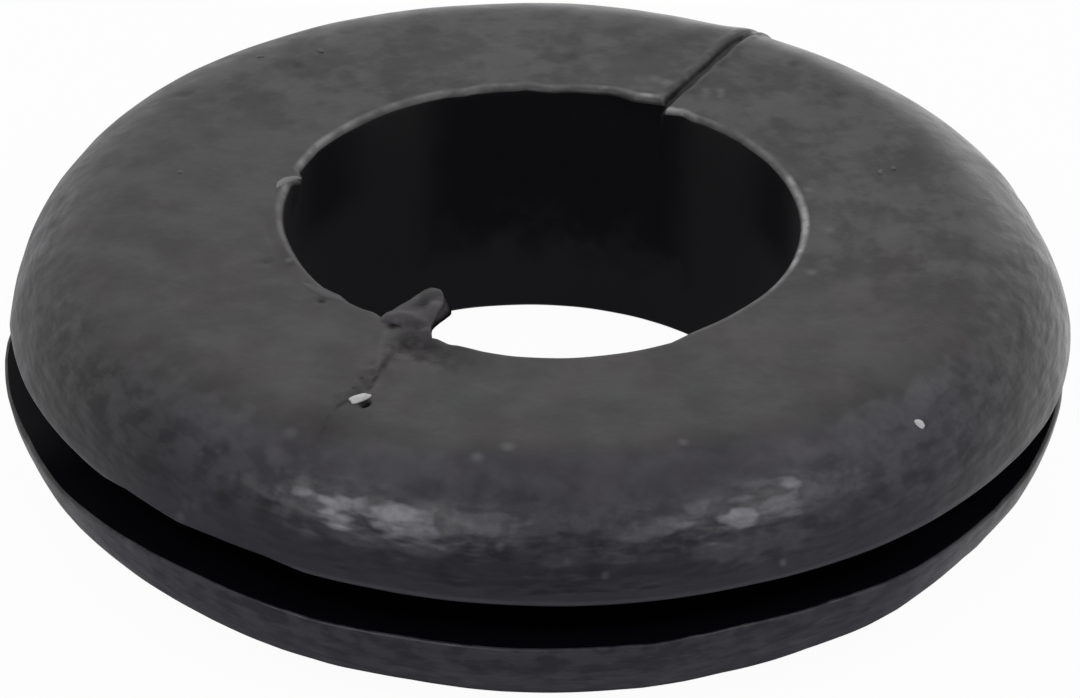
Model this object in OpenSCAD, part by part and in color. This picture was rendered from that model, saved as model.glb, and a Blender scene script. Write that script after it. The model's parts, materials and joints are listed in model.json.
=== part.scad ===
// Rubber grommet for a round hole in sheet metal, moulded in one piece.
//
// Two equal flanges are joined by a hub. The groove between them takes the edge of the panel's hole, and the
// straight bore lets a cable or pipe through. Each flange is flat on its face and fully rounded at its rim.
// A knit line, where the rubber met itself in the mould, crosses the upper flange along one diameter.
//
// Millimetres. +Z is up along the bore, and the origin is on the bore's axis at the lower flange's flat face.

/* [Overall] */
// Outside diameter of both flanges
outer_d = 38.4; // [36:0.1:60]
// Thickness from one flat face to the other
thickness = 9.5; // [9:0.1:14]

/* [Bore] */
// Diameter of the bore
bore_d = 18.7; // [12:0.1:20]
// Radius of the corner between the bore and each flat face
bore_corner_r = 0.3; // [0.1:0.05:1]

/* [Panel groove] */
// Width of the groove, which is the thickest panel that it takes
groove_w = 1.65; // [1:0.05:3]
// Diameter of the groove's floor, which is the diameter of the panel's hole
groove_floor_d = 28; // [24:0.5:32]
// Radius of the corners at the groove's floor
groove_root_r = 0.3; // [0.1:0.05:0.45]

/* [Flanges] */
// Radius of the round rim of each flange
rim_r = 4.5; // [1:0.1:4.6]

/* [Knit line] */
// Direction of the knit line, in degrees about the bore from +X
knit_turn = 62; // [0:1:360]
// Width of the crease that it leaves
knit_w = 0.2; // [0.1:0.05:0.5]
// Depth of the crease on its open side
knit_depth_open = 0.3; // [0.1:0.05:0.6]
// Depth of the crease on the opposite side, where the rubber closed up
knit_depth_closed = 0.1; // [0.05:0.05:0.6]

/* [Hidden] */

outer_r = outer_d / 2;
bore_r = bore_d / 2;
groove_floor_r = groove_floor_d / 2;
mid_z = thickness / 2;
groove_top_z = mid_z + groove_w / 2;
// How far a cutting shape runs past the surface that it cuts
over = 1;
$fn = 180;

// Waste cut away to round a square corner at the origin, with the rubber below it and to its left
module corner_waste(r) {
    difference() {
        translate([-r, -r]) square(r + over);
        translate([-r, -r]) circle(r);
    }
}

// Draws its children at the lower face and, mirrored, at the upper face
module at_both_faces() {
    children();
    translate([0, thickness]) mirror([0, 1]) children();
}

// Round rim of a flange, and the small round at the bore, as waste on the lower face
module face_waste() {
    translate([outer_r, 0]) mirror([0, 1]) corner_waste(rim_r);
    translate([bore_r, 0]) mirror([1, 0]) mirror([0, 1]) corner_waste(bore_corner_r);
}

// Panel groove, open outwards, with both corners at its floor rounded
module groove() {
    translate([groove_floor_r, mid_z - groove_w / 2]) difference() {
        square([outer_r - groove_floor_r + over, groove_w]);
        mirror([1, 0]) mirror([0, 1]) corner_waste(groove_root_r);
        translate([0, groove_w]) mirror([1, 0]) corner_waste(groove_root_r);
    }
}

// Half of the grommet's cross-section: X is the distance from the bore's axis, and Y is the height
module cross_section() {
    difference() {
        translate([bore_r, 0]) square([outer_r - bore_r, thickness]);
        at_both_faces() face_waste();
        groove();
    }
}

// Outline of the upper flange, drawn in by a depth that is the same over its face and round its rim
module upper_flange_inset(depth) {
    difference() {
        translate([0, groove_top_z]) square([outer_r - depth, thickness - depth - groove_top_z]);
        translate([outer_r - depth, thickness - depth]) corner_waste(rim_r - depth);
    }
}

// Crease in the upper flange's skin from the bore to the groove, of the same depth all along
module crease(depth) {
    rotate([90, 0, 0]) linear_extrude(knit_w, center = true) difference() {
        translate([bore_r - over, groove_top_z])
            square([outer_r - bore_r + 2 * over, thickness - groove_top_z + over]);
        upper_flange_inset(depth);
    }
}

module grommet() {
    color([0.15, 0.15, 0.16]) difference() {
        rotate_extrude() cross_section();
        rotate([0, 0, knit_turn]) crease(knit_depth_open);
        rotate([0, 0, knit_turn + 180]) crease(knit_depth_closed);
    }
}

grommet();
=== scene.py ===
import json
import math

import bpy
import numpy as np
from mathutils import Matrix, Vector


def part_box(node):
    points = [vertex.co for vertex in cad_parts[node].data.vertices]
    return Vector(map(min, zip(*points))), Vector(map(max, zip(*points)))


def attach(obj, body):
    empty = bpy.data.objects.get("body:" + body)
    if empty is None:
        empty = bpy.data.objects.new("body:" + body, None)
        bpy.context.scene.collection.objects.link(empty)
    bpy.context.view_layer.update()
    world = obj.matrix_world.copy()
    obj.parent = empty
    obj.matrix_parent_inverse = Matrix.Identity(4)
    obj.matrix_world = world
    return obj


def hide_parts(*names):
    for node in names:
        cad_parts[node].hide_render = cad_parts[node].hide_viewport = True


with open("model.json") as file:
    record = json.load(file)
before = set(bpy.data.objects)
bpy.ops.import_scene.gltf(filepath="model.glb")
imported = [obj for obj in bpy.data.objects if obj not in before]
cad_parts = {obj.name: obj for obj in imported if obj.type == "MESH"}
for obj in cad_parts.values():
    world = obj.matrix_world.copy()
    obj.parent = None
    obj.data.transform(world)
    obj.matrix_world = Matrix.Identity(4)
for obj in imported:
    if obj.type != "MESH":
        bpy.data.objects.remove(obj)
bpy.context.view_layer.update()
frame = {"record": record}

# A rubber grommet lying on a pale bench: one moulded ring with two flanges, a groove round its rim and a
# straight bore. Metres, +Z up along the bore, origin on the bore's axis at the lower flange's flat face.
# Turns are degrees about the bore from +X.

MM = 0.001

# ---- Sizes of the moulding ----
low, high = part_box("grommet")
bore_mount = next(m for m in frame["record"]["mounts"] if m["name"] == "bore")

THICKNESS = high.z - low.z
HALF = THICKNESS / 2
BORE_R = bore_mount["dims"]["r_mm"] * MM
# Radius at which the rims' arcs are widest, inside the groove's mouth
OUTER_R = 19.2 * MM
RIM_R = 4.5 * MM
BORE_CORNER_R = 0.3 * MM
GROOVE_HALF = 0.825 * MM
GROOVE_FLOOR_R = 14.0 * MM
GROOVE_ROOT_R = 0.3 * MM
LIP_R = 0.12 * MM
# Height of the upper face in millimetres
TOP = THICKNESS / MM

# ---- The knit line ----
# It is a plane through the axis, where the rubber's two flows met
KNIT_TURN = 62.0
SLIT_HALF_W = 0.13 * MM
SEAM_REACH = 0.2 * MM
# The open slit on the far side: distance from the axis, depth, and how far one side stands above the other,
# in millimetres
SLIT_PATH = np.array([
    (9.3, 0.34, 0.13), (10.4, 0.26, 0.08), (11.0, 0.23, 0.05), (14.0, 0.23, 0.03), (15.9, 0.32, 0.07),
    (16.7, 0.12, 0.15), (18.2, 0.06, 0.14), (18.8, 0.0, 0.05)])
# The worn hollow beside the tab: distance from the axis, width and depth, in millimetres
HOLLOW_PATH = np.array([(9.3, 1.5, 0.05), (9.7, 1.18, 0.1), (10.2, 0.78, 0.1), (10.8, 0.3, 0.0)])
# The seam on the near side: distance from the axis, sideways wander and depth, in millimetres
SEAM_PATH = np.array([
    (9.3, -1.2, 0.0), (10.3, -0.85, 0.05), (11.8, -0.1, 0.06), (12.5, 0.2, 0.09), (13.3, 0.3, 0.09),
    (13.9, 0.1, 0.03), (14.7, 0.0, 0.0), (15.3, -0.05, 0.01), (16.0, 0.03, 0.0)])

# ---- How the moulding strays from its true shape ----
# Where the bore's upper edge strays from its circle: turn in degrees and distance outwards in millimetres
BORE_EDGE = (
    (-180, -0.12), (-162, -0.28), (-147, -0.37), (-142, -0.58), (-138, -0.52), (-134, -0.6), (-132, -0.7),
    (-131, -0.71), (-129, -0.65), (-120, -0.54), (-113, -0.56), (-110, -0.4), (-105, -0.31),
    (-102, -0.22), (-95, -0.13), (-84, -0.07), (-60, -0.04), (-54, -0.26), (-51, -0.29), (-39, -0.28),
    (0, 0), (30, 0.07), (36, 0.04), (40, 0.08), (51, 0.01), (54, -0.07), (57, 0.04), (60.2, -0.2),
    (61.8, -0.16), (62.3, 0.36), (69, 0.1), (73, 0.25), (75, 0.27), (78, 0.19), (84, 0.14), (87.5, -0.01),
    (91, 0.06), (94, 0.18), (96, 0.12), (105, 0.11), (108, 0.04), (112, 0.14), (126, 0.12), (135, 0.04),
    (150, 0.03), (153, -0.03), (160.5, -0.09), (162, -0.26), (165, -0.37), (166.3, -0.1), (180, -0.12))
# How far each soft flange bulges past its true circle: turn in degrees and distance outwards in millimetres
UPPER_BULGE = (
    (-180, -0.13), (-178, -0.1), (-174, 0), (-150, 0), (-120, 0.05), (-90, 0.08), (-60, 0.06),
    (-30, 0.04), (-12, 0.12), (0, 0.16), (8, 0.03), (13.7, -0.05), (16.3, 0.0), (18.9, -0.02),
    (21.5, 0.08), (26.7, 0.09), (34, 0.05), (39.2, -0.01), (44, -0.05), (51, -0.02), (61, -0.05),
    (66.5, -0.15), (73, -0.14), (77.5, -0.13), (87, -0.01), (95.5, -0.22), (100, -0.2), (105, -0.08),
    (112, 0.0), (117.5, 0.11), (123, 0.07), (130, 0.09), (144, 0.13), (149, 0.08), (154, 0.07),
    (157, 0.0), (162, 0), (166, -0.04), (169.7, -0.08), (174, -0.15), (177, -0.14), (180, -0.13))
LOWER_BULGE = (
    (-180, 0.13), (-177, 0.19), (-170, 0.19), (-160.8, 0.05), (-150, 0.11), (-140, 0.12), (-130, 0.14),
    (-122, 0.24), (-118.7, 0.27), (-115.5, 0.2), (-112, 0.18), (-107, 0.12), (-103.5, 0.08),
    (-99.5, 0.16), (-97, 0.25), (-93, 0.33), (-85, 0.33), (-80, 0.3), (-77.2, 0.34), (-72.5, 0.26),
    (-67.6, 0.07), (-60.6, 0.02), (-56.7, -0.07), (-51, 0.05), (-48.5, 0.08), (-45, 0.05), (-42, -0.05),
    (-35, -0.21), (-32.8, -0.26), (-28, -0.24), (-22, -0.09), (-13.5, 0.0), (-8.8, 0.0), (-5, -0.03),
    (0, 0.08), (8, 0), (172, 0), (176, -0.02), (180, 0.13))
# How far each flange's lip is lifted beside the groove: turn in degrees and height in millimetres
UPPER_LIP = (
    (-180, 0), (-142, 0), (-138, 0.18), (-135, 0.18), (-130, 0.08), (-125, 0.18), (-119, 0.17),
    (-116.5, 0.08), (-114, -0.02), (-60, -0.03), (-42, -0.06), (-30, -0.15), (-20, -0.36), (-12, -0.36),
    (-4, -0.2), (2, 0), (180, 0))
LOWER_LIP = (
    (-180, -0.15), (-165, -0.35), (-152, -0.4), (-143, -0.22), (-135, -0.08), (-127, 0.03), (-119, 0.05),
    (-114, -0.08), (-103, -0.1), (-95, -0.03), (-85, 0), (-77, 0.02), (-73, 0.12), (-65, 0.07),
    (-58, -0.03), (-48, -0.05), (-40, -0.15), (-30, -0.32), (-22, -0.1), (-13.5, 0.3), (-5, 0.36),
    (0, 0.25), (7, 0.08), (170, -0.1), (180, -0.15))
# How strong the painted highlight along the bore's edge is: turn in degrees and share
EDGE_HIGHLIGHT_SHARE = (
    (-180, 0.15), (-158, 0.15), (-155, 0), (-57, 0), (-54, 0.2), (-38, 0.15), (-22, 0.45), (-15, 0.8),
    (-5, 1.0), (8, 0.7), (19, 0.7), (25, 0.3), (45, 0.15), (56, 0.4), (60.3, 0.8), (61.4, 0), (63, 0.2),
    (66, 0.65), (75, 0.45), (90, 0.25), (110, 0.35), (125, 0.3), (140, 0.42), (160, 0.5), (161, 0.05),
    (164, 0.05), (165, 0.4), (170, 0.5), (173, 0.25), (180, 0.15))

# ---- Marks, flash and grit, in millimetres and degrees ----
# Small pits: distance from the axis, turn, depth and reach
PITS = (
    (15.7, 147.5, 0.07, 0.25), (13.94, 130.6, 0.07, 0.25), (14.18, 40.6, 0.06, 0.3),
    (10.33, 199.7, 0.05, 0.2), (9.7, 217.9, 0.09, 0.17), (12.75, 242.8, 0.05, 0.3),
    (13.96, 244.9, 0.25, 0.16), (12.14, 241.8, 0.06, 0.16), (11.64, 240.4, 0.05, 0.14))
# Strips of flash the trimming left on the bore's edge: turns and distances from the axis along each
TORN_HOOK = ((163.9, 9.04), (164.4, 9.24), (165.5, 9.47), (167.6, 9.65), (171, 9.7))
PALE_STRIP = ((209.5, 9.66), (215.5, 9.38), (221, 9.12))
# The tab's outline: distance outwards, then its two sides
TAB_OUTLINE = (
    (6.2, -0.72, -0.68), (6.35, -1.0, -0.48), (6.6, -1.13, -0.22), (7.0, -1.13, 0.0), (7.6, -1.38, 0.12),
    (8.3, -1.46, 0.22), (8.7, -1.6, 0.4), (9.3, -1.6, 0.85), (9.8, -1.1, 1.0), (10.4, -0.7, 0.9))
# How deep its middle lies under the face, half its thickness, and its rise: distance outwards, then height
TAB_DEPTH = 0.26
TAB_HALF_THICK = 0.3
TAB_RISE = ((6.2, 0.2), (7.2, 0.25), (8.6, 0.15), (9.2, 0.03), (9.8, -0.13), (10.4, -0.36))
# Dents and lumps on its upper side: distance outwards, distance sideways, height and reach
TAB_LUMPS = (
    (7.5, -0.55, -0.14, 0.22), (9.15, -0.85, -0.4, 0.25), (8.5, -1.0, 0.1, 0.25), (8.5, -0.1, 0.08, 0.2))
# Grit: distance from the axis, turn, length, width, height and slant
PALE_GRIT = (
    (13.81, 243.8, 0.9, 0.34, 0.13, 152), (17.64, 319.4, 0.4, 0.26, 0.13, 40))
GREY_GRIT = (
    (14.45, 125.3, 0.34, 0.26, 0.07, 50), (15.52, 132.9, 0.26, 0.22, 0.06, 30),
    (13.38, 168.4, 0.24, 0.2, 0.05, 0), (12.93, 17.6, 0.34, 0.2, 0.06, 70),
    (13.5, 18.2, 0.26, 0.18, 0.05, 100))
# Faint pale spots in the skin: distance from the axis, turn, height, reach and strength
FAINT_SPOTS = (
    (15.85, 262.9, 9.35, 0.36, 0.9), (15.2, 266.5, 9.47, 0.4, 0.9), (15.46, 289.3, 9.44, 0.3, 0.8),
    (16.48, 239.2, 9.13, 0.42, 0.9), (18.15, 237.4, 7.87, 0.55, 0.55), (18.3, 235.3, 7.69, 0.5, 0.3),
    (18.9, 232.0, 6.57, 0.42, 0.3), (18.95, 230.8, 6.45, 0.35, 0.25), (19.12, 230.4, 5.93, 0.34, 0.5),
    (18.41, 242.9, 7.55, 0.45, 0.4), (17.85, 243.6, 8.21, 0.45, 0.8), (16.5, 152, 9.1, 0.35, 0.8),
    (10, 14.6, 9.5, 0.3, 0.9), (10.42, 358.5, 9.5, 0.34, 0.9), (10.23, 341.8, 9.5, 0.3, 0.9),
    (18.9, 277.6, 6.61, 0.25, 0.8), (18.45, 266.6, 7.48, 0.28, 0.8), (18.69, 273.7, 7.06, 0.26, 0.5),
    (19.05, 296.9, 6.15, 0.22, 0.9), (11.3, 58, 9.5, 0.26, 0.7), (11.15, 57.4, 9.5, 0.26, 0.7),
    (11.0, 56.9, 9.5, 0.26, 0.6), (11.6, 55.6, 9.5, 0.26, 0.9), (11.45, 55.0, 9.5, 0.26, 0.9),
    (11.3, 54.5, 9.5, 0.26, 0.8), (10.6, 59.2, 9.5, 0.22, 0.5), (11.0, 65.6, 9.5, 0.4, 0.9),
    (11.1, 68.2, 9.5, 0.4, 0.65), (9.45, 60.4, 9.45, 0.3, 1.0), (11.7, 62.9, 9.5, 0.2, 0.8),
    (13.4, 63.0, 9.5, 0.25, 0.8), (15.6, 63.3, 9.4, 0.3, 0.8), (16.0, 60.0, 9.3, 0.35, 0.8),
    (9.5, 200.4, 9.5, 0.24, 1.0), (19.2, 222.8, 3.61, 0.35, 0.5), (19.2, 225.7, 3.13, 0.4, 0.5))
# Small dark spots, several of them painted shade in pits, in the tab's dents and under the pale grit:
# distance from the axis, turn, height, reach and strength
DARK_SPOTS_AND_PIT_SHADE = (
    (13.93, 245.1, 9.35, 0.32, 1.0), (9.14, 236.1, 9.5, 0.34, 0.75), (7.61, 238.0, 9.7, 0.4, 0.4),
    (9.52, 243.8, 9.5, 0.2, 0.5), (9.5, 245.4, 9.5, 0.2, 0.5), (9.7, 217.9, 9.45, 0.24, 0.45),
    (12.6, 241.2, 9.5, 0.17, 0.4), (13.3, 241.6, 9.5, 0.16, 0.4), (14.95, 51.5, 9.5, 0.4, 0.25),
    (13.93, 39.1, 9.5, 0.6, 0.2), (13.2, 72.7, 9.5, 0.7, 0.15), (11.9, 85.1, 9.5, 0.5, 0.2),
    (18.6, 240.0, 7.24, 0.6, 0.25), (18.6, 246.7, 7.24, 0.6, 0.25), (18.6, 235.0, 7.2, 0.6, 0.25),
    (18.9, 172.5, 6.6, 1.3, 0.2), (18.5, 223.0, 7.6, 2.9, 0.1))
# The near seam's dark line: distance outwards along it, then sideways
SEAM_LINE = (
    (9.4, 0.35), (10.4, 0.12), (11.4, -0.08), (12.5, -0.23), (13.0, -0.33), (13.5, -0.22), (14.6, 0.0),
    (15.3, -0.09), (16.0, -0.2), (16.75, -0.14), (17.2, -0.28), (17.8, -0.07), (18.4, 0.18))
# Scuffed patches on the front of the rim, partly a painted highlight: turn, half turn, distance from the
# axis, half width and strength
SCUFF_AND_HIGHLIGHT_PATCHES = (
    (-116.0, 2.6, 18.06, 0.3, 0.7), (-112.2, 3.0, 18.18, 0.5, 1.0), (-110.8, 2.8, 18.4, 0.3, 0.9),
    (-105.4, 7, 18.02, 0.32, 0.85), (-103.8, 5, 18.38, 0.32, 0.6), (-95.1, 6.5, 17.99, 0.42, 0.25),
    (-76.1, 8, 18.16, 0.45, 0.27), (-73.6, 4, 18.2, 0.18, 0.4), (-71.6, 3, 17.85, 0.3, 0.28),
    (-67.1, 3.8, 18.22, 0.32, 0.85), (-62.6, 5.4, 18.12, 0.5, 0.35), (-60.1, 2.8, 17.76, 0.34, 0.8),
    (-66.6, 4, 17.81, 0.18, 0.35), (-108.1, 12, 18.69, 0.25, 0.15), (-82.1, 14, 18.75, 0.2, 0.1),
    (-90, 40, 17.9, 0.9, 0.06), (-131, 22, 17.0, 1.3, 0.11), (-45, 26, 17.0, 1.0, 0.16),
    (-108, 22, 16.6, 1.2, 0.09), (-70, 34, 17.0, 1.4, 0.07), (-50, 30, 18.0, 1.3, 0.1),
    (-66, 12, 18.75, 0.35, 0.15))

# ---- The meshes ----
# Rows and columns of the tab, of a strip of flash and of a lump of grit, and the first lump's random seed
TAB_GRID = (22, 48)
STRIP_GRID = (9, 24)
GRIT_GRID = (9, 20)
GRIT_SEED = 20
# How many columns the ring's mesh has, and where they crowd: turn, width and strength
COLUMNS = 860
CROWDS = ((KNIT_TURN, 1.8, 7), (KNIT_TURN + 180, 4.0, 5), (183, 20, 0.6), (165, 2, 3), (249, 6, 1))


# ---- Outline and surface ----
def straight(start, end, count, crowd=1.0):
    """Points from start towards end, without the end. A crowd above 1 packs them near the start."""
    t = np.linspace(0, 1, count, endpoint=False)[:, None] ** crowd
    return np.array(start) + t * (np.array(end) - np.array(start))


def arc(centre, radius, start, end, count):
    """Points on a circle's arc between two angles in degrees, without the last."""
    a = np.radians(np.linspace(start, end, count, endpoint=False))
    return np.array(centre) + radius * np.stack([np.cos(a), np.sin(a)], axis=1)


def half_section(bore, corner, face, rim):
    """Upper half of the cross-section, as distance from the axis and height over the mid plane, with the
    given counts of points on its stretches.

    It runs up the bore's wall, over the small corner arc, across the flat face, down the rim's large arc to
    the lip, into the groove along its wall, and round the root arc to the groove's floor. The lip's small
    arc touches the rim's arc from inside and the groove's wall, so its centre is the rim radius less the
    lip radius away from the rim's centre.
    """
    rim_x, rim_z = OUTER_R - RIM_R, HALF - RIM_R
    lip_z = GROOVE_HALF + LIP_R
    lip_x = rim_x + math.sqrt((RIM_R - LIP_R) ** 2 - (lip_z - rim_z) ** 2)
    lip_turn = math.degrees(math.atan2(lip_z - rim_z, lip_x - rim_x))
    corner_x, corner_z = BORE_R + BORE_CORNER_R, HALF - BORE_CORNER_R
    root_x, root_z = GROOVE_FLOOR_R + GROOVE_ROOT_R, GROOVE_HALF - GROOVE_ROOT_R
    return np.concatenate([
        straight((BORE_R, 0), (BORE_R, corner_z), bore),
        arc((corner_x, corner_z), BORE_CORNER_R, 180, 90, corner),
        straight((corner_x, HALF), (rim_x, HALF), face, crowd=1.25),
        arc((rim_x, rim_z), RIM_R, 90, lip_turn, rim),
        arc((lip_x, lip_z), LIP_R, lip_turn, -90, 3),
        straight((lip_x, GROOVE_HALF), (root_x, GROOVE_HALF), 2),
        arc((root_x, root_z), GROOVE_ROOT_R, 90, 180, 2),
        straight((GROOVE_FLOOR_R, root_z), (GROOVE_FLOOR_R, 0), 1),
    ])


def full_section():
    """The whole closed outline: the upper half, then a coarser one mirrored below the mid plane."""
    upper = half_section(6, 7, 30, 26)
    below = half_section(4, 3, 5, 13)[:0:-1] * (1, -1)
    return np.concatenate([upper, [(GROOVE_FLOOR_R, 0)], below])


def outward(section):
    """Unit normals of a closed clockwise outline: the direction from the point before to the point after,
    turned a quarter to the left."""
    along = np.roll(section, -1, axis=0) - np.roll(section, 1, axis=0)
    along /= np.linalg.norm(along, axis=1, keepdims=True)
    return np.stack([-along[:, 1], along[:, 0]], axis=1)


def angle_from(turn, centre):
    """Signed angle from centre to turn, in degrees, from -180 to 180."""
    return (turn - centre + 180) % 360 - 180


def looked_up(value, rows):
    """Value read off a polyline of (value, level) rows."""
    return np.interp(value, *np.array(rows).T)


def crowded_turns(count, crowds):
    """Turns in radians round the full circle, closer together near each (turn, width, strength) in crowds:
    evenly spaced steps of the running sum of 1 plus a hill at each crowd."""
    fine = np.linspace(0, 360, 36001)
    density = np.ones_like(fine)
    for turn, width, strength in crowds:
        density += strength * hill(angle_from(fine, turn), width)
    total = np.concatenate([[0], np.cumsum((density[1:] + density[:-1]) / 2)])
    return np.radians(np.interp(np.linspace(0, total[-1], count, endpoint=False), total, fine))


def hill(distance, reach):
    """Smooth hill of height 1 at no distance."""
    return np.exp(-(distance / reach) ** 2)


def ramp(value, soft):
    """Smooth step from 0 well below nought to 1 well above it."""
    return 0.5 * (1 + np.tanh(value / soft))


def band(value, low, high, soft):
    """1 between low and high, and 0 outside them."""
    return ramp(value - low, soft) * ramp(high - value, soft)


def waves(x, y, z, wavelength, seed, count=14):
    """Smooth unevenness with a spread of about 1: a sum of plane waves in seeded random directions, with
    lengths near the one given."""
    draw = np.random.default_rng(seed)
    total = np.zeros_like(x)
    for _ in range(count):
        direction = draw.normal(size=3)
        direction /= np.linalg.norm(direction)
        k = 2 * math.pi / (wavelength * draw.uniform(0.7, 1.5))
        along = direction[0] * x + direction[1] * y + direction[2] * z
        total += np.cos(k * along + draw.uniform(0, 2 * math.pi))
    return total / math.sqrt(count / 2)


def smooth_mesh(name, points, faces):
    """Mesh of points and faces that is shaded smooth."""
    mesh = bpy.data.meshes.new(name)
    mesh.from_pydata(points, [], faces)
    mesh.polygons.foreach_set("use_smooth", np.ones(len(faces), dtype=bool))
    mesh.update()
    return mesh


def grid_mesh(name, points):
    """Mesh from a grid of points, rows by columns, that joins round both ways. Row steps crossed with
    column steps point outwards."""
    rows, columns = points.shape[:2]
    index = np.arange(rows * columns).reshape(rows, columns)
    ahead = np.roll(index, -1, axis=0)
    corners = [index, ahead, np.roll(ahead, -1, axis=1), np.roll(index, -1, axis=1)]
    return smooth_mesh(name, points.reshape(-1, 3), np.stack(corners, axis=-1).reshape(-1, 4))


# ---- The ring ----
def crease(distance, half_width):
    """Depth of a crease at a distance across it: full at its middle, with steep walls at half its width."""
    return 1 - ramp(np.abs(distance) - half_width, half_width * 0.42)


def level_along(reach, path, column):
    """A path's level at a distance from the axis, read off one of its columns, in metres."""
    return np.interp(reach, path[:, 0] * MM, path[:, column] * MM)


def open_slit(across, along):
    """Depth of the knit line where it stayed open, on the far side."""
    depth = level_along(along, SLIT_PATH, 1)
    ragged = 1 + 0.15 * np.sin(along / (0.29 * MM)) * np.sin(along / (0.83 * MM) + 1)
    return depth * crease(across, SLIT_HALF_W * ragged) * (along > 0)


def slit_lips(across, along):
    """Height of the rubber beside the open slit: one side stands higher, and both edges have a burr."""
    stand = level_along(along, SLIT_PATH, 2)
    # Farther out the lip overhangs the slit and is narrower
    over = np.interp(along, [16 * MM, 16.8 * MM], [0, 0.26 * MM])
    reach = np.interp(along, [14.5 * MM, 16.5 * MM], [2.8 * MM, 1.0 * MM])
    beside = ramp(across + over, 0.06 * MM) * hill(across, reach)
    burr = hill(np.abs(across) - 0.36 * MM, 0.14 * MM) * band(along, 10 * MM, 16.6 * MM, 0.5 * MM)
    return (stand * beside + 0.03 * MM * burr * (1 + 0.7 * np.sin(along / (0.21 * MM)))) * (along > 0)


def closed_seam(across, along):
    """Depth of the knit line on the near side, a fine broken crease that wanders off its plane."""
    reach = -along
    wander, depth = level_along(reach, SEAM_PATH, 1), level_along(reach, SEAM_PATH, 2)
    return depth * hill(-across - wander, SEAM_REACH) * (along < 0)


def seam_ridge(across, along):
    """Height of the thin strip of flash that lies over the inner end of the near seam."""
    reach = -along
    middle = np.interp(reach, [9.4 * MM, 11.8 * MM], [-0.95 * MM, 0.15 * MM])
    return 0.09 * MM * hill(-across - middle, 0.2 * MM) * band(reach, 9.5 * MM, 11.7 * MM, 0.15 * MM)


def worn_hollow(across, along):
    """Depth of the worn hollow beside the flash tab: just behind the bore's edge, and narrower outwards."""
    width, depth = level_along(-along, HOLLOW_PATH, 1), level_along(-along, HOLLOW_PATH, 2)
    return depth * band(-across, 0.05 * MM, width, 0.14 * MM) * (along < 0)


def torn_lip(r, turn):
    """Height of the thin lip that the trimming left on the bore's edge at -X, less the fold behind it."""
    band_r = np.interp(turn, [164.5, 167.5, 172, 201], [9.3 * MM, 9.62 * MM, 9.66 * MM, 9.44 * MM])
    fold = 0.05 * MM * hill(r - 9.78 * MM, 0.1 * MM) * band(turn, 184, 197, 2.0)
    return 0.05 * MM * hill(r - band_r, 0.16 * MM) * band(turn, 163.8, 201.5, 0.6) - fold


def pits(r, turn):
    """Depth of the small pits in the flat face."""
    total = np.zeros_like(r)
    for pit_r, pit_turn, depth, reach in PITS:
        sideways = r * np.radians(angle_from(turn, pit_turn))
        total += depth * MM * hill(np.hypot(r - pit_r * MM, sideways), reach * MM)
    return total


def carried_round(section, turn):
    """The outline repeated at every turn: distance from the axis, height, the normal's two parts and the
    turn, each as rows by columns."""
    parts = [np.repeat(part[:, None], len(turn), axis=1) for part in (*section.T, *outward(section).T)]
    return *parts, np.repeat(turn[None, :], len(section), axis=0)


def bore_stray(r, z, around):
    """How far the bore's upper edge strays outwards, with the top of the wall and the face beside it."""
    top_of_wall = ramp(z - HALF + 1.1 * MM, 0.5 * MM)
    beside = np.clip(1 - (r - BORE_R - BORE_CORNER_R) / (1.6 * MM), 0, 1)
    return looked_up(around, BORE_EDGE) * MM * (top_of_wall * beside)


def upper_skin(z, n_r, n_z):
    """How far a point is on the upper flange's outside: 0 in the bore's wall and in the groove."""
    above_groove = ramp(z - GROOVE_HALF - 0.12 * MM, 0.05 * MM)
    facing = np.where(n_z > 0, np.clip(n_z * 1.6, 0, 1), 0)
    return above_groove * np.maximum(facing, n_r > 0)


def marks_push(r, t):
    """How far the upper flange's marks stand out of its skin, or less than nought where they sink. The knit
    plane's marks go by the distance from it, across, and the distance from the axis in it, along."""
    knit = math.radians(KNIT_TURN)
    across = r * np.sin(t - knit)
    along = r * np.cos(t - knit)
    push = slit_lips(across, along) - open_slit(across, along) - closed_seam(across, along)
    push += seam_ridge(across, along) - worn_hollow(across, along)
    return push + torn_lip(r, np.degrees(t)) - pits(r, np.degrees(t))


def unevenness(r, t, z):
    """Long and short waves of the moulding, faded out in the groove and half way up the bore."""
    x, y = r * np.cos(t), r * np.sin(t)
    outside = ramp(r - GROOVE_FLOOR_R - 3.0 * MM, 0.5 * MM) + ramp(np.abs(z) - GROOVE_HALF, 0.1 * MM)
    long_waves = 0.015 * MM * waves(x, y, z, 9 * MM, seed=3)
    short_waves = 0.004 * MM * waves(x, y, z, 2.2 * MM, seed=5)
    return (long_waves + short_waves) * np.clip(outside, 0, 1)


def by_flange(z, around, upper, lower):
    """Level read off the upper flange's rows above the mid plane and off the lower flange's rows below it,
    in metres, and 0 inside the groove."""
    level = np.where(z > 0, looked_up(around, upper), looked_up(around, lower))
    return level * MM * (np.abs(z) > 0.9 * GROOVE_HALF)


def rim_bulge(r, z, around):
    """How far both rims bulge out here and there."""
    return by_flange(z, around, UPPER_BULGE, LOWER_BULGE) * ramp(r - OUTER_R + 0.5 * RIM_R, 0.25 * RIM_R)


def lip_lean(r, z, around):
    """How far each flange's outside leans up with its lip, so that the groove's width wanders. The flat
    faces stay flat."""
    near_lip = np.clip((HALF - np.abs(z)) / (HALF - GROOVE_HALF), 0, 1) * ramp(r - 14.6 * MM, 0.4 * MM)
    return by_flange(z, around, UPPER_LIP, LOWER_LIP) * near_lip


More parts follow.
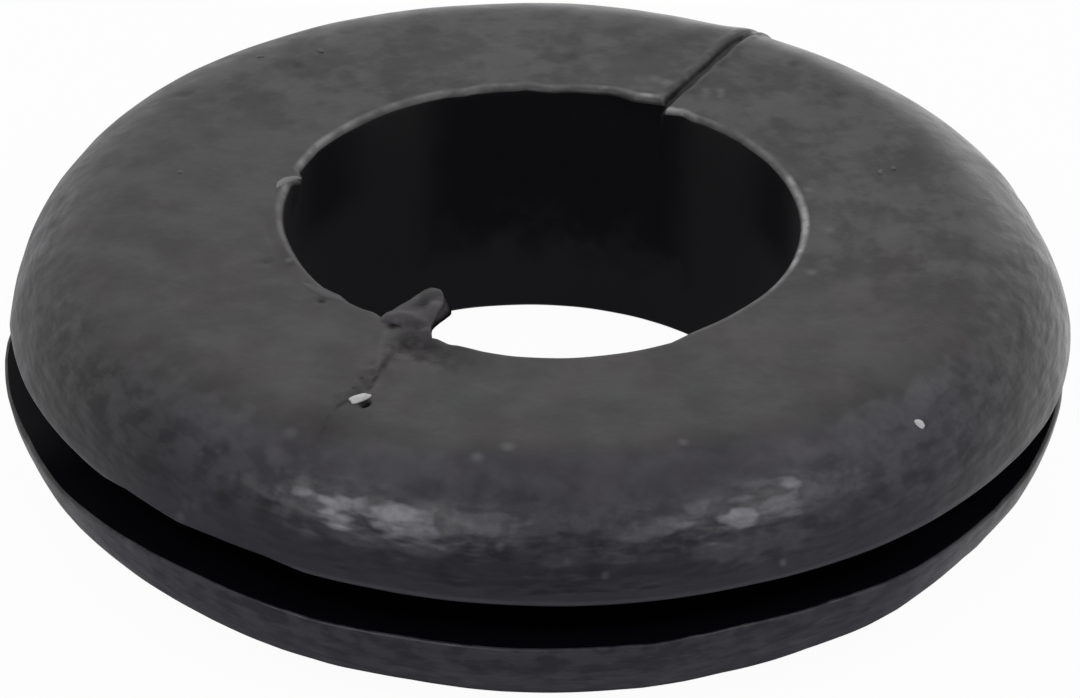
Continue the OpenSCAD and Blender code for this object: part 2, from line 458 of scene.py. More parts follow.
def moulded_ring():
    """The ring: the closed outline carried round the bore. Its marks and unevenness move each point along
    the outline's normal, its bulges move it outwards, and its leaning lips move it up or down."""
    r, z, n_r, n_z, t = carried_round(full_section(), crowded_turns(COLUMNS, CROWDS))
    around = angle_from(np.degrees(t), 0)
    r = r + bore_stray(r, z, around)
    push = marks_push(r, t) * upper_skin(z, n_r, n_z) + unevenness(r, t, z)
    r = r + rim_bulge(r, z, around)
    lean = lip_lean(r, z, around)
    r = r + push * n_r
    z = z + push * n_z + lean + HALF
    return np.stack([r * np.cos(t), r * np.sin(t), z], axis=-1)


def paint_inside(mesh, columns):
    """Give the bore's wall with the steep part of its corners the second material, and the groove the
    third, by rows of faces."""
    section = full_section()
    r, z = section[:, 0], np.abs(section[:, 1])
    in_bore = r < BORE_R + 0.2 * BORE_CORNER_R
    in_groove = (z <= GROOVE_HALF + 0.01 * MM) & (r > GROOVE_FLOOR_R - GROOVE_ROOT_R)
    kind = 1 * (in_bore & np.roll(in_bore, -1)) + 2 * (in_groove & np.roll(in_groove, -1))
    mesh.polygons.foreach_set("material_index", np.repeat(kind, columns).astype(np.int32))


# ---- Flash and grit ----
def lump_points(rows, columns):
    """Unit sphere as rows of points between its poles: directions for each row and column."""
    tilt = np.linspace(-math.pi / 2, math.pi / 2, rows + 2)[1:-1, None]
    turn = np.linspace(0, 2 * math.pi, columns, endpoint=False)[None, :]
    return np.cos(tilt) * np.cos(turn), np.cos(tilt) * np.sin(turn), np.sin(tilt) + 0 * turn


def lump_faces(rows, columns, first):
    """Faces of a closed lump: quads between its rows and a fan of triangles at each pole. Its points are
    the rows' and then the lower and the upper pole."""
    index = first + np.arange(rows * columns).reshape(rows, columns)
    ahead = np.roll(index, -1, axis=1)
    quads = np.stack([index[:-1], ahead[:-1], ahead[1:], index[1:]], axis=-1).reshape(-1, 4).tolist()
    low, high = first + rows * columns, first + rows * columns + 1
    under = [[int(b), int(a), low] for a, b in zip(index[0], ahead[0])]
    over = [[int(a), int(b), high] for a, b in zip(index[-1], ahead[-1])]
    return quads + under + over


def lumps_mesh(name, lumps, rows, columns):
    """One mesh of closed lumps. Each lump is a function from unit sphere points to places."""
    points, faces = [], []
    x, y, z = lump_points(rows, columns)
    x, y, z = (np.concatenate([c.ravel(), ends]) for c, ends in ((x, (0, 0)), (y, (0, 0)), (z, (-1, 1))))
    for k, place in enumerate(lumps):
        points.append(np.stack(place(x, y, z), axis=-1))
        faces += lump_faces(rows, columns, k * (rows * columns + 2))
    return smooth_mesh(name, np.concatenate(points), faces)


def square_off(value, power):
    """Value from -1 to 1 moved towards its ends, which turns a round outline into a squarer one."""
    return np.sign(value) * np.abs(value) ** power


def flash_tab(x, y, z):
    """The tongue of flash in the bore beside the seam: a rounded slab that follows its outline, rises
    towards its tip and sinks into the face at its root. Outwards is along the seam's direction from the
    axis, and sideways is across it."""
    outline = np.array(TAB_OUTLINE)
    outwards = np.interp(x, (-1, 1), outline[[0, -1], 0])
    low = np.interp(outwards, outline[:, 0], outline[:, 1])
    high = np.interp(outwards, outline[:, 0], outline[:, 2])
    girth = np.sqrt(np.clip(1 - x ** 2, 1e-4, 1))
    sideways = (low + high) / 2 + (high - low) / 2 * square_off(np.clip(y / girth, -1, 1), 0.75)
    sideways += 0.45 * np.clip(-z / girth, 0, 1) ** 0.5 * hill(outwards - 6.95, 0.9)
    thick = TAB_HALF_THICK * square_off(np.clip(z / girth, -1, 1), 0.7) * np.clip(girth * 2.5, 0, 1)
    uneven = 0.04 * waves(outwards, sideways, thick, 1.0, seed=11)
    for at, aside, level, reach in TAB_LUMPS:
        uneven += level * hill(np.hypot(outwards - at, sideways - aside), reach)
    height = TOP - TAB_DEPTH + looked_up(outwards, TAB_RISE) + thick + uneven * np.clip(3 * z, 0, 1)
    turn = math.radians(KNIT_TURN + 180)
    px = outwards * math.cos(turn) - sideways * math.sin(turn)
    py = outwards * math.sin(turn) + sideways * math.cos(turn)
    return px * MM, py * MM, height * MM


def sliver(path, half_width, height):
    """A thin curved strip of flash on the bore's edge, along a path of (turn, distance from the axis)."""
    turns, radii = np.array(path).T

    def place(x, y, z):
        turn = np.interp(x, np.linspace(-1, 1, len(turns)), turns)
        r = np.interp(turn, turns, radii) + half_width * y * (1 - 0.4 * x ** 2)
        a = np.radians(turn)
        return r * np.cos(a) * MM, r * np.sin(a) * MM, (TOP - 0.02 + height * z) * MM

    return place


def face_height(r):
    """Height of the upper face and rim over the bench at distances from the axis, in millimetres."""
    arc_r = RIM_R / MM
    over = np.clip(r - (OUTER_R - RIM_R) / MM, 0, 0.99 * arc_r)
    return TOP - arc_r + np.sqrt(arc_r ** 2 - over ** 2)


def grit(r, turn, length, width, height, slant, seed):
    """A lump half sunk in the face. Its slant is the turn of its length from the outward direction."""
    a, b = math.radians(turn), math.radians(turn + slant)

    def place(x, y, z):
        rough = 1 + 0.12 * waves(x, y, z, 1.3, seed=seed, count=8)
        dx, dy = x * rough * length / 2, y * rough * width / 2
        px = r * math.cos(a) + dx * math.cos(b) - dy * math.sin(b)
        py = r * math.sin(a) + dx * math.sin(b) + dy * math.cos(b)
        return px * MM, py * MM, (face_height(np.hypot(px, py)) + z * height) * MM

    return place


# ---- Materials ----
# Grey bloom on the flat face, its casts on the near side and its paling on the far side
BLOOM_LOW = (0.013, 0.0129, 0.013, 1)
BLOOM_HIGH = (0.0475, 0.0473, 0.0474, 1)
WARM_TINT = (0.016, -0.006, -0.002)
PINK_CAST = (0.0003, -0.0024, -0.0004)
FAR_PALING = (0.011, 0.011, 0.011)
# Bare and dusty rubber of the rims, darker rubber low on the upper rim, and the painted bluish light at the
# front
BARE_RUBBER = (0.0075, 0.0073, 0.0078, 1)
DUSTY_RUBBER = (0.033, 0.0324, 0.0336, 1)
LOW_RUBBER = (0.0062, 0.006, 0.0063, 1)
PAINTED_BLUE_LIGHT = (0.0, -0.0007, 0.0062)
# Marks: scuffed patches on the rim, partly painted highlight, the painted highlight on the bore's edge, the
# stain and painted shade at the tab's root, and spots, the dark ones with painted shade
# Pale of the scuffed patches, partly a painted highlight
SCUFF_AND_HIGHLIGHT_PAINT = (0.2, 0.197, 0.214, 1)
# Painted highlight along the bore's edge
EDGE_HIGHLIGHT_PAINT = (0.34, 0.34, 0.345, 1)
# Dark purple at the tab's root, partly painted shade
ROOT_STAIN_AND_SHADE = (0.009, 0.0055, 0.0085, 1)
# Dark of the marks and of the painted shade
DARK_MARK_AND_SHADE = (0.003, 0.003, 0.0035, 1)
PALE_SPOT = (0.085, 0.083, 0.089, 1)
# The tab, the bore's wall and the groove, each from dark to pale
FLASH_LOW = (0.022, 0.019, 0.0225, 1)
FLASH_HIGH = (0.06, 0.054, 0.0605, 1)
BORE_DARK = (0.0052, 0.0052, 0.0068, 1)
# Pale of the bore's wall: low down it is painted light bounced from the bench
BORE_PALE = (0.019, 0.019, 0.0208, 1)
# Near black of the groove's walls, painted shade
GROOVE_SHADE_PAINT = (0.0012, 0.001, 0.003, 1)
GROOVE_DUST = (0.014, 0.0135, 0.0155, 1)
# The strips of flash and the grit
# Pale of the torn hook, a painted highlight on its flash
HOOK_HIGHLIGHT_PAINT = (0.2, 0.2, 0.2, 1)
PALE_FLASH = (0.07, 0.07, 0.075, 1)
PALE_MINERAL = (0.6, 0.6, 0.6, 1)
GREY_MINERAL = (0.085, 0.084, 0.085, 1)
# The bench as the view sees it, and as it lights the grommet
BENCH_PAINT = (0.88, 0.88, 0.88, 1)
BENCH_BOUNCE = (0.62, 0.62, 0.69, 1)
WHITE = (1, 1, 1, 1)

RUBBER_IOR = 1.5


class Nodes:
    """Short calls that add shader nodes to one new material or world."""

    def __init__(self, name, kind=None):
        self.made = (bpy.data.materials if kind is None else kind).new(name)
        self.made.use_nodes = True
        self.tree = self.made.node_tree
        self.tree.nodes.clear()

    def give(self, node, inputs):
        """Give a node its inputs. Each is a value or another node's output."""
        for key, value in inputs.items():
            if isinstance(value, bpy.types.NodeSocket):
                self.tree.links.new(value, node.inputs[key])
            else:
                node.inputs[key].default_value = value

    def add(self, kind, inputs=None, **settings):
        """A node of that kind, with its settings and inputs."""
        node = self.tree.nodes.new("ShaderNode" + kind)
        for key, value in settings.items():
            setattr(node, key, value)
        self.give(node, inputs or {})
        return node

    def finish(self, shader, output="OutputMaterial"):
        self.add(output, {"Surface": shader})
        return self.made

    def math(self, operation, first, second=0.0):
        return self.add("Math", {0: first, 1: second}, operation=operation).outputs[0]

    def times(self, first, second):
        return self.math("MULTIPLY", first, second)

    def plus(self, first, second):
        return self.math("ADD", first, second)

    def minus(self, first, second):
        return self.math("SUBTRACT", first, second)

    def most(self, first, second):
        return self.math("MAXIMUM", first, second)

    def size(self, value):
        return self.math("ABSOLUTE", value)

    def vector_math(self, operation, first, second):
        return self.add("VectorMath", {0: first, 1: second}, operation=operation)

    def scaled(self, vector, scale):
        return self.add("VectorMath", {0: vector, "Scale": scale}, operation="SCALE").outputs[0]

    def joined(self, x=0.0, y=0.0, z=0.0):
        return self.add("CombineXYZ", {"X": x, "Y": y, "Z": z}).outputs[0]

    def noise(self, vector, scale, detail=3.0, roughness=0.55):
        inputs = {"Vector": vector, "Scale": scale, "Detail": detail, "Roughness": roughness}
        return self.add("TexNoise", inputs).outputs["Fac"]

    def spread(self, value, low, high, to_low=0.0, to_high=1.0):
        """The value mapped smoothly from one range to another."""
        inputs = {"Value": value, "From Min": low, "From Max": high, "To Min": to_low, "To Max": to_high}
        return self.add("MapRange", inputs, interpolation_type="SMOOTHSTEP").outputs["Result"]

    def hill(self, value, centre, reach):
        """Smooth hill of height 1 at the centre, down to 0 at the reach either side."""
        return self.spread(self.size(self.minus(value, centre)), 0.0, reach, 1.0, 0.0)

    def curve(self, value, points, low, high):
        """Value looked up along a polyline of (value, level) points, between the low and high values."""
        place = self.add("MapRange", {"Value": value, "From Min": low, "From Max": high}).outputs["Result"]
        node = self.add("FloatCurve", {"Value": place})
        knots = node.mapping.curves[0].points
        while len(knots) < len(points):
            knots.new(0.5, 0.5)
        for knot, (at, level) in zip(knots, points):
            knot.location = ((at - low) / (high - low), level)
            knot.handle_type = "VECTOR"
        node.mapping.update()
        return node.outputs[0]

    def signed_curve(self, value, points, low, high):
        """The same for levels from -0.5 to 0.5, which the node keeps raised by a half."""
        raised = [(at, level + 0.5) for at, level in points]
        return self.minus(self.curve(value, raised, low, high), 0.5)

    def blend(self, share, first, second):
        """Colour between two colours."""
        node = self.add("Mix", data_type="RGBA")
        self.give(node, {0: share, 6: first, 7: second})
        return node.outputs[2]

    def tinted(self, colour, tint, share):
        """The colour with a share of a small tint added."""
        return self.vector_math("ADD", colour, self.scaled(tint, share)).outputs[0]

    def bump(self, height, distance, strength, under=None):
        """Normals of a relief, over the normals of the relief under it."""
        inputs = {"Height": height, "Distance": distance, "Strength": strength}
        if under is not None:
            inputs["Normal"] = under
        return self.add("Bump", inputs).outputs["Normal"]

    def coated(self, colour, roughness, specular, skin=None):
        """A plastic or mineral surface, with the normals of its skin where it has one."""
        inputs = {"Base Color": colour, "Roughness": roughness, "Specular IOR Level": specular}
        if skin is not None:
            inputs["Normal"] = skin
        return self.add("BsdfPrincipled", {"IOR": RUBBER_IOR, **inputs}).outputs["BSDF"]

    def hollowed(self, shader, dark):
        """The shader with marks that are dark and give no gloss, painted shade among them."""
        hollow = self.add("BsdfDiffuse", {"Color": DARK_MARK_AND_SHADE}).outputs[0]
        return self.add("MixShader", {0: dark, 1: shader, 2: hollow}).outputs[0]

    def locate(self):
        """Set the coordinates that marks are placed by, in millimetres: the place and its parts, and the
        distance from the bore's axis. The turn about it is in degrees from -180 to 180."""
        place = self.add("TexCoord").outputs["Object"]
        self.place = self.add("Mapping", {"Vector": place, "Scale": (1 / MM,) * 3}).outputs["Vector"]
        parts = self.add("SeparateXYZ", {0: self.place}).outputs
        self.x, self.y, self.height = parts["X"], parts["Y"], parts["Z"]
        flat = self.joined(self.x, self.y)
        self.radius = self.add("VectorMath", {0: flat}, operation="LENGTH").outputs["Value"]
        self.turn = self.times(self.math("ARCTAN2", self.y, self.x), math.degrees(1))

    def about_knit_line(self):
        """Distance across the knit line, and distance from the axis along it towards the far side."""
        a = math.radians(KNIT_TURN)
        across = self.vector_math("DOT_PRODUCT", self.place, (-math.sin(a), math.cos(a), 0))
        along = self.vector_math("DOT_PRODUCT", self.place, (math.cos(a), math.sin(a), 0))
        return across.outputs["Value"], along.outputs["Value"]

    def round_rim(self):
        """Coordinates that stretch a noise along the rim, the same all the way round."""
        flat = self.vector_math("MULTIPLY", self.scaled(self.place, 8.8), (1, 1, 0)).outputs[0]
        shrunk = self.scaled(flat, self.math("DIVIDE", 1.0, self.radius))
        return self.vector_math("ADD", shrunk, self.joined(z=self.times(self.height, 1.4))).outputs[0]


# ---- Marks on the rubber ----
# Each function gives a mark's share at every place, from 0 to about 1
def painted_edge_highlight(n):
    """The bore's straying edge with a painted highlight along it: most on the +X side and not on the near
    side.
    """
    stray = n.signed_curve(n.turn, BORE_EDGE, -180, 180)
    edge = n.hill(n.minus(n.radius, stray), BORE_R / MM + 0.2, 0.21)
    patchy = n.spread(n.noise(n.place, 1.3, 2.0), 0.35, 0.65, 0.6, 1.4)
    return n.times(edge, n.times(n.curve(n.turn, EDGE_HIGHLIGHT_SHARE, -180, 180), patchy))


def rim_scuffs_and_highlights(n, smears):
    """Pale scuffed patches on the front of the upper rim, partly a painted highlight: the highest of them,
    each a speckled patch whose outline the smears make uneven."""
    total = 0.0
    uneven = n.spread(smears, 0.3, 0.7, -0.45, 0.45)
    for at, half_turn, r, half_r, strength in SCUFF_AND_HIGHLIGHT_PATCHES:
        here = n.times(n.hill(n.turn, at, half_turn), n.hill(n.radius, r, half_r))
        patch = n.spread(n.plus(here, uneven), 0.05, 0.85, 0.0, strength)
        total = n.most(n.times(patch, n.spread(here, 0.0, 0.2)), total)
    speckle = n.spread(n.noise(n.place, 2.6, 2.0), 0.3, 0.7, 0.75, 1.12)
    return n.times(n.times(total, speckle), n.spread(n.height, HALF / MM, HALF / MM + 0.5))


def spots(n, rows):
    """Soft round spots: the highest of the hills round each spot's centre."""
    total = 0.0
    for r, turn, height, reach, strength in rows:
        a = math.radians(turn)
        centre = (r * math.cos(a), r * math.sin(a), height)
        distance = n.vector_math("DISTANCE", n.place, centre).outputs["Value"]
        total = n.most(n.spread(distance, 0.0, reach, strength, 0.0), total)
    return total


def seam_stain_and_shade(n):
    """A broken dark line along the seam on the near side, painted shade of its shallow crease, in a soft
    dark trail.
    """
    across, behind = n.about_knit_line()
    along = n.minus(0.0, behind)
    aside = n.plus(across, n.spread(n.noise(along, 0.8, 1.0), 0.3, 0.7, -0.45, 0.3))
    thin = n.times(n.hill(aside, 0.0, 0.5), n.hill(along, 13.4, 3.0))
    broad = n.times(n.hill(aside, 0.1, 1.5), n.hill(along, 15.6, 2.6))
    trail = n.most(n.times(thin, 0.35), n.times(broad, 0.3))
    middle = n.signed_curve(along, SEAM_LINE, SEAM_LINE[0][0], SEAM_LINE[-1][0])
    broken = n.spread(n.noise(n.place, 2.2, 2.0), 0.35, 0.6, 0.35, 1.0)
    line = n.times(n.hill(n.minus(across, middle), 0.0, 0.24), broken)
    return n.most(trail, n.times(line, n.hill(along, 13.2, 5.4)))


def painted_slit_shade(n):
    """Painted shade in the open slit, soft across it."""
    across, along = n.about_knit_line()
    ends = n.times(n.spread(along, 9.2, 9.5), n.spread(along, 16.2, 17.0, 1.0, 0.0))
    return n.times(n.hill(across, 0.0, 0.3), ends)


def root_stain_and_shade(n):
    """A dark, faintly purple patch round the tab's root, running on along the bore's edge: a stain, with
    painted shade of the hollow beside the tab.
    """
    uneven = n.spread(n.noise(n.place, 1.7, 3.0), 0.3, 0.7, -0.4, 0.4)
    across = n.hill(n.plus(n.radius, uneven), 9.7, 1.4)
    ends = n.times(n.spread(n.turn, -122.5, -118.0), n.spread(n.turn, -116.0, -95.0, 1.0, 0.0))
    return n.times(across, ends)


def painted_far_edge_shade(n):
    """Painted shade in a band near the face's outer edge on the far side."""
    return n.times(n.hill(n.radius, 16.6, 0.9), n.hill(n.turn, 113.0, 26.0))


def dark_marks(n, root):
    """The dark marks together: painted shade and a stain along the knit line, painted shade near the far
    edge, the stain and painted shade at the tab's root, and the spots.
    """
    lines = n.most(n.times(seam_stain_and_shade(n), 0.5), n.times(painted_slit_shade(n), 0.3))
    lines = n.most(lines, n.times(painted_far_edge_shade(n), 0.17))
    return n.most(n.most(lines, n.times(root, 0.42)), spots(n, DARK_SPOTS_AND_PIT_SHADE))


def flat_faces(n):
    """The two flat faces. On the far side the bloom of the upper one reaches farther down the rim."""
    far_reach = n.spread(n.y, 6.0, 14.0, 0.0, 1.3)
    upper = n.spread(n.plus(n.height, far_reach), TOP - 1.5, TOP - 0.1)
    return n.most(upper, n.spread(n.height, 0.1, 0.6, 1.0, 0.0))


def painted_front_blue_light(n):
    """The front of the rim, broader at its middle, where a bluish light is painted on."""
    aside = n.size(n.minus(n.turn, -84.0))
    on_rim = n.spread(n.minus(n.radius, n.times(aside, 0.03)), 14.8, 16.0)
    return n.times(on_rim, n.spread(aside, 44.0, 72.0, 1.0, 0.0))


def painted_lip_highlight(n):
    """A painted highlight along the upper lip of the groove."""
    lip_height = (HALF + GROOVE_HALF) / MM + 0.1
    return n.times(n.hill(n.height, lip_height, 0.17), n.spread(n.radius, 17.0, 18.0))


# ---- Layers of the moulded rubber ----
def bloom_amount(n, far):
    """How much bloom the face has: wide patches and blotches, with rings round the bore on the far side."""
    patches = n.noise(n.place, 0.3, 4.0)
    blotches = n.noise(n.place, 0.55, 3.0)
    rings = n.noise(n.joined(n.times(n.radius, 1.6), n.times(n.turn, 0.12)), 1.0, 3.0)
    ringed = n.minus(n.plus(rings, n.noise(n.place, 1.4, 3.0)), 1.0)
    amount = n.plus(n.times(patches, 0.45), n.times(blotches, 0.55))
    return n.plus(amount, n.times(n.times(ringed, 0.3), far))


def face_bloom(n, root):
    """Colour of the flat faces: a grey bloom with more contrast on the far side, warmer on the near side
    and paler at the very back, stained round the tab's root, with painted shade there."""
    far = n.spread(n.plus(n.y, n.times(n.x, 0.5)), -3.0, 6.0)
    share = n.minus(n.spread(bloom_amount(n, far), 0.4, 0.6), 0.5)
    contrast = n.spread(far, 0.0, 1.0, 0.5, 1.0)
    bloom = n.blend(n.plus(n.times(share, contrast), 0.5), BLOOM_LOW, BLOOM_HIGH)
    bloom = n.blend(root, bloom, ROOT_STAIN_AND_SHADE)
    near = n.spread(n.y, -2.0, 6.0, 1.0, 0.0)
    warm = n.minus(n.noise(n.place, 0.45, 2.0), 0.5)
    bloom = n.tinted(bloom, WARM_TINT, n.times(warm, near))
    bloom = n.tinted(bloom, PINK_CAST, near)
    return n.tinted(bloom, FAR_PALING, n.spread(n.y, 8.0, 16.0))


def bare_rims(n):
    """Colour of the rims: bare rubber with streaks of dust along it, darkest low on the upper rim."""
    streaks = n.noise(n.round_rim(), 1.8, 3.0, 0.6)
    rubs = n.plus(n.times(streaks, 0.5), n.times(n.noise(n.place, 1.2, 3.0), 0.5))
    bare = n.blend(n.spread(rubs, 0.43, 0.58), BARE_RUBBER, DUSTY_RUBBER)
    low_down = n.times(n.hill(n.height, 6.0, 2.2), n.spread(n.radius, 18.0, 18.6))
    return n.blend(low_down, bare, LOW_RUBBER)


def rubber_colour(n, root, scuffs_and_highlights, dark):
    """Colour of the outside: bloom on the flat faces and bare rims, with the marks over them, painted
    highlights, shade and a bluish light among them.
    """
    flat = flat_faces(n)
    colour = n.blend(flat, bare_rims(n), face_bloom(n, root))
    # Scuffed patches, partly a painted highlight
    colour = n.blend(scuffs_and_highlights, colour, SCUFF_AND_HIGHLIGHT_PAINT)
    # Painted bluish light on the front of the rim
    colour = n.tinted(colour, PAINTED_BLUE_LIGHT, painted_front_blue_light(n))
    colour = n.blend(spots(n, FAINT_SPOTS), colour, PALE_SPOT)
    # Dark marks and painted shade
    colour = n.blend(dark, colour, DARK_MARK_AND_SHADE)
    # Painted highlight along the groove's upper lip
    colour = n.blend(n.times(painted_lip_highlight(n), 0.16), colour, SCUFF_AND_HIGHLIGHT_PAINT)
    # Painted highlight along the bore's edge
    return n.blend(n.times(painted_edge_highlight(n), flat), colour, EDGE_HIGHLIGHT_PAINT)


def rubber_gloss(n, mottle, scuffs_and_highlights):
    """Roughness of the outside: mottled, and smoother on the back of the rims and in the scuffed patches.
    """
    back = n.plus(n.times(n.y, 0.8), n.times(n.x, 0.6))
    polish = n.times(n.times(n.spread(n.radius, 15.2, 16.2), n.spread(back, 3.0, 10.0)), 0.15)
    dull = n.minus(n.spread(mottle, 0.3, 0.7, 0.36, 0.46), polish)
    return n.minus(dull, n.times(scuffs_and_highlights, 0.06))


def rubber_skin(n, mottle, smears):
    """Relief of the outside: dents along the rims, low lumps, and a fine grain."""
    dents = n.bump(smears, 0.12 * MM, n.spread(n.radius, 15.5, 17.5, 0.0, 0.7))
    lumps = n.bump(mottle, 0.03 * MM, 0.8, under=dents)
    return n.bump(n.noise(n.place, 7.0, 2.0), 0.006 * MM, 0.6, under=lumps)


def moulded_rubber():
    """Black moulded rubber with a grey bloom, an uneven gloss, scuffed patches and a fine grain, with
    painted highlights and shade in its colour.
    """
    n = Nodes("moulded_rubber")
    n.locate()
    mottle = n.noise(n.place, 0.9, 3.5)
    smears = n.noise(n.round_rim(), 1.6, 1.5)
    root = root_stain_and_shade(n)
    scuffs_and_highlights = rim_scuffs_and_highlights(n, smears)
    dark = dark_marks(n, root)
    colour = rubber_colour(n, root, scuffs_and_highlights, dark)
    rubber = n.coated(colour, rubber_gloss(n, mottle, scuffs_and_highlights), 0.5, rubber_skin(n, mottle, smears))
    return n.finish(n.hollowed(rubber, dark))


def flash_rubber():
    """The thin flash of the tab, with pale and dark patches, painted shade on its low underside, and the
    stain with painted shade where it leaves the edge.
    """
    n = Nodes("flash_rubber")
    n.locate()
    mottle = n.noise(n.place, 1.1, 3.0)
    colour = n.blend(n.spread(mottle, 0.35, 0.62), FLASH_LOW, FLASH_HIGH)
    skin = n.bump(n.noise(n.place, 3.0, 3.0), 0.05 * MM, 0.7)
    # Painted shade on the tab's low underside
    under = n.times(n.spread(n.height, 9.3, 9.6, 1.0, 0.0), n.spread(n.radius, 9.0, 9.4, 1.0, 0.0))
    dark = n.most(n.most(spots(n, DARK_SPOTS_AND_PIT_SHADE), under), n.times(root_stain_and_shade(n), 0.45))
    return n.finish(n.hollowed(n.coated(colour, 0.45, 0.4, skin), dark))


def plain_grit(name, colour):
    """Dull mineral grit or dust of one colour."""
    n = Nodes(name)
    return n.finish(n.coated(colour, 0.55, 0.5))


def bore_rubber():
    """The bore's dull wall: dark high up on the far side, with painted shade under the edge to either side
    of it, paler low down, where bounced light from the bench is painted, and paler towards the sides.
    """
    n = Nodes("bore_wall_rubber")
    n.locate()
    mottle = n.noise(n.place, 0.8, 3.0)
    uneven = n.spread(mottle, 0.3, 0.7, -0.7, 0.7)
    # Painted bounce light from the bench, paler low down
    low_down = n.spread(n.plus(n.height, uneven), 1.6, 4.8, 1.0, 0.0)
    aside = n.plus(n.size(n.minus(n.turn, 86.0)), uneven)
    share = n.most(low_down, n.spread(aside, 24.0, 36.0, 0.0, 0.95))
    # Painted shade high up under the bore's edge
    shade = n.times(n.hill(aside, 62.0, 20.0), n.spread(n.height, 5.2, 7.0))
    share = n.times(share, n.minus(1.0, shade))
    lumps = n.bump(mottle, 0.05 * MM, 0.5)
    return n.finish(n.coated(n.blend(share, BORE_DARK, BORE_PALE), 0.7, 0.15, lumps))


def groove_shade_rubber():
    """The groove's walls, painted near black as its shade, dusty on the -X side."""
    n = Nodes("groove_shade_rubber")
    n.locate()
    dusty = n.most(n.spread(n.turn, -166.0, -152.0, 1.0, 0.0), n.spread(n.turn, 120.0, 175.0))
    return n.finish(n.coated(n.blend(dusty, GROOVE_SHADE_PAINT, GROOVE_DUST), 0.8, 0.05))


def bench_white():
    """Plain pale bench: white with a faint shadow in view, and a white sweep in the grommet's gloss."""
    n = Nodes("bench_white")
    n.locate()
    path = n.add("LightPath").outputs
    pale = n.blend(path["Is Camera Ray"], BENCH_BOUNCE, BENCH_PAINT)
    paint = n.add("BsdfDiffuse", {"Color": pale}).outputs[0]
    behind = n.spread(n.y, -18.0, -4.0, 0.0, 20.0)
    reach = n.spread(n.plus(n.radius, behind), 24.0, 48.0)
    level = n.times(reach, n.spread(n.x, -35.0, 40.0, 0.57, 1.0))
    sweep = n.times(n.most(path["Is Glossy Ray"], path["Is Transmission Ray"]), level)
    seen = n.most(n.times(path["Is Camera Ray"], 0.96), sweep)
    white = n.add("Emission", {"Color": WHITE, "Strength": 1.0}).outputs[0]
    return n.finish(n.add("MixShader", {0: seen, 1: paint, 2: white}).outputs[0])


# ---- Pieces ----
def piece(name, mesh, *materials):
    """An object for a mesh, which moves with the part, with the given materials."""
    made = bpy.data.objects.new(name, mesh)
    bpy.context.scene.collection.objects.link(made)
    for material in materials:
        mesh.materials.append(material)
    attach(made, "root")
    return made


def ring_piece():
    """The moulded ring, with a rubber each for its outside, its bore and its groove."""
    points = moulded_ring()
    ring_mesh = grid_mesh("rubber_grommet", points)
    ring = piece("rubber_grommet", ring_mesh, moulded_rubber(), bore_rubber(), groove_shade_rubber())
    paint_inside(ring_mesh, points.shape[1])
    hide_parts("grommet")


def strip_piece(name, path, half_width, height, finish):
    """A strip of flash on the bore's edge."""
    piece(name, lumps_mesh(name, [sliver(path, half_width, height)], *STRIP_GRID), finish)


def grit_piece(name, rows, colour):
    """Lumps of grit of one colour."""
    lumps = [grit(*row, seed=GRIT_SEED + k) for k, row in enumerate(rows)]
    piece(name, lumps_mesh(name, lumps, *GRIT_GRID), plain_grit(name, colour))


# ---- Scene ----
def bench():
    """A flat square far larger than the view."""
    reach = 1.5
    mesh = bpy.data.meshes.new("bench")
    corners = [(-reach, -reach, 0), (reach, -reach, 0), (reach, reach, 0), (-reach, reach, 0)]
    mesh.from_pydata(corners, [], [(0, 1, 2, 3)])
    mesh.materials.append(bench_white())
    floor = bpy.data.objects.new("bench", mesh)
    bpy.context.scene.collection.objects.link(floor)


# How bright the studio's air is by direction: share of +Y in the direction, then the level
AIR_LEVELS = ((-1.0, 0.12), (-0.75, 0.28), (-0.5, 0.5), (0.0, 0.5), (0.85, 0.89), (0.97, 0.66), (1.0, 0.5))


def studio_air():
    """World light: white all round, brighter behind the grommet and to the right, and dimmer in front."""
    n = Nodes("studio", bpy.data.worlds)
    direction = n.add("TexCoord").outputs["Object"]
    part = n.add("SeparateXYZ", {0: direction}).outputs
    low_right = n.times(n.spread(part["X"], -0.15, 0.05), n.spread(part["Z"], 0.05, 0.3, 1.0, 0.0))
    glow = n.times(low_right, n.spread(part["Y"], 0.8, 0.9, 0.0, 0.5))
    level = n.plus(n.curve(part["Y"], AIR_LEVELS, -1.0, 1.0), glow)
    light = n.add("Background", {"Color": WHITE, "Strength": level}).outputs[0]
    bpy.context.scene.world = n.finish(light, "OutputWorld")


def softbox(name, turn, elevation, distance, size, power):
    """A square soft lamp that looks at the grommet from a turn and an elevation in degrees."""
    lamp = bpy.data.lights.new(name, "AREA")
    lamp.shape = "SQUARE"
    lamp.size = size
    lamp.energy = power
    a, e = math.radians(turn), math.radians(elevation)
    place = Vector((math.cos(a) * math.cos(e), math.sin(a) * math.cos(e), math.sin(e)))
    made = bpy.data.objects.new(name, lamp)
    made.location = place * distance
    made.rotation_euler = place.to_track_quat("Z", "Y").to_euler()
    bpy.context.scene.collection.objects.link(made)


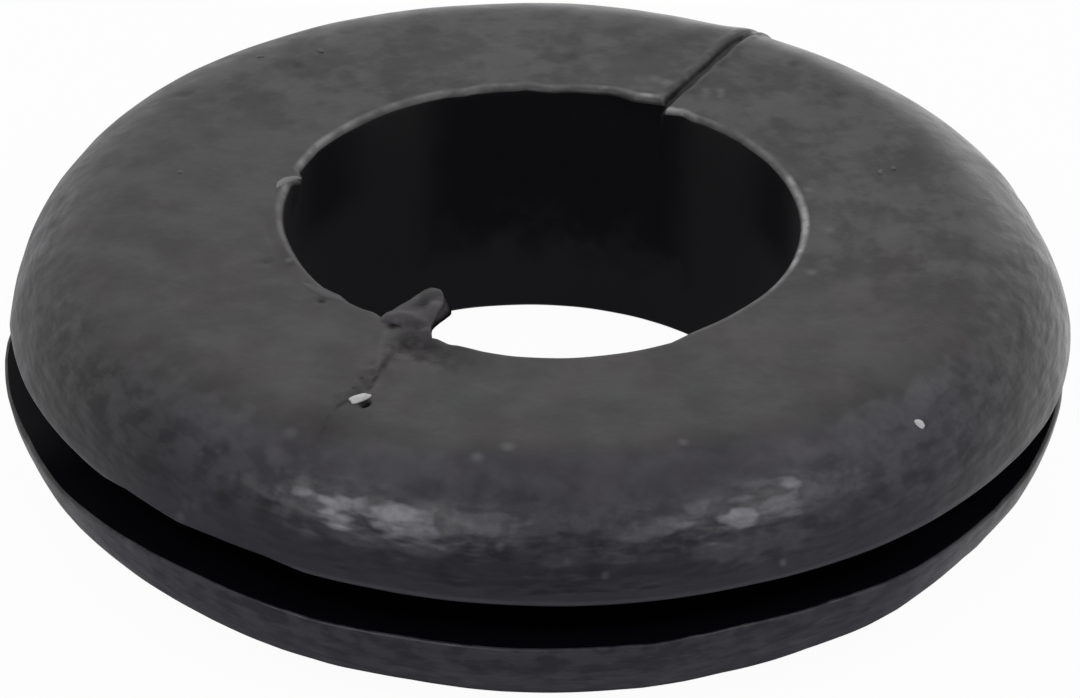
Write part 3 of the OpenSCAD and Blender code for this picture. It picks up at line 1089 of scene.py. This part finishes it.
# The camera looks along +Y and down. Its focal length and its centre are in pixels of the picture
PICTURE_W, PICTURE_H = 1080, 698
FOCAL_PIXELS = 7931.0
CAMERA_DISTANCE = 14.9964 * OUTER_R
CAMERA_ELEVATION = math.radians(31.726)
CAMERA_ROLL = math.radians(1.396)
CENTRE_PIXEL = (537.54, 331.27)


def camera():
    """The camera, aimed at the grommet's centre, then shifted so that this centre falls on its pixel."""
    data = bpy.data.cameras.new("camera")
    data.sensor_width = 36.0
    data.lens = data.sensor_width * FOCAL_PIXELS / PICTURE_W
    data.shift_x = (PICTURE_W / 2 - CENTRE_PIXEL[0]) / PICTURE_W
    data.shift_y = (CENTRE_PIXEL[1] - PICTURE_H / 2) / PICTURE_W
    data.clip_start = 0.01
    data.clip_end = 10.0
    made = bpy.data.objects.new("camera", data)
    back = Vector((0, -math.cos(CAMERA_ELEVATION), math.sin(CAMERA_ELEVATION)))
    aim = back.to_track_quat("Z", "Y").to_matrix().to_4x4()
    place = Matrix.Translation(back * CAMERA_DISTANCE + Vector((0, 0, HALF)))
    made.matrix_world = place @ aim @ Matrix.Rotation(CAMERA_ROLL, 4, "Z")
    bpy.context.scene.collection.objects.link(made)
    bpy.context.scene.camera = made


def main():
    camera()
    ring_piece()
    piece("flash_tab", lumps_mesh("flash_tab", [flash_tab], *TAB_GRID), flash_rubber())
    # The torn hook's pale is a painted highlight along the bore's edge
    strip_piece("torn_hook", TORN_HOOK, 0.21, 0.1, plain_grit("hook_highlight_paint", HOOK_HIGHLIGHT_PAINT))
    strip_piece("pale_strip", PALE_STRIP, 0.2, 0.06, plain_grit("pale_flash", PALE_FLASH))
    grit_piece("pale_grit", PALE_GRIT, PALE_MINERAL)
    grit_piece("grey_grit", GREY_GRIT, GREY_MINERAL)
    bench()
    studio_air()
    softbox("front_left_lamp", 233, 48, 0.6, 0.2, 0.6)
    softbox("front_right_lamp", 328, 46, 0.6, 0.2, 0.45)
    bpy.context.scene.view_settings.view_transform = "Standard"


main()
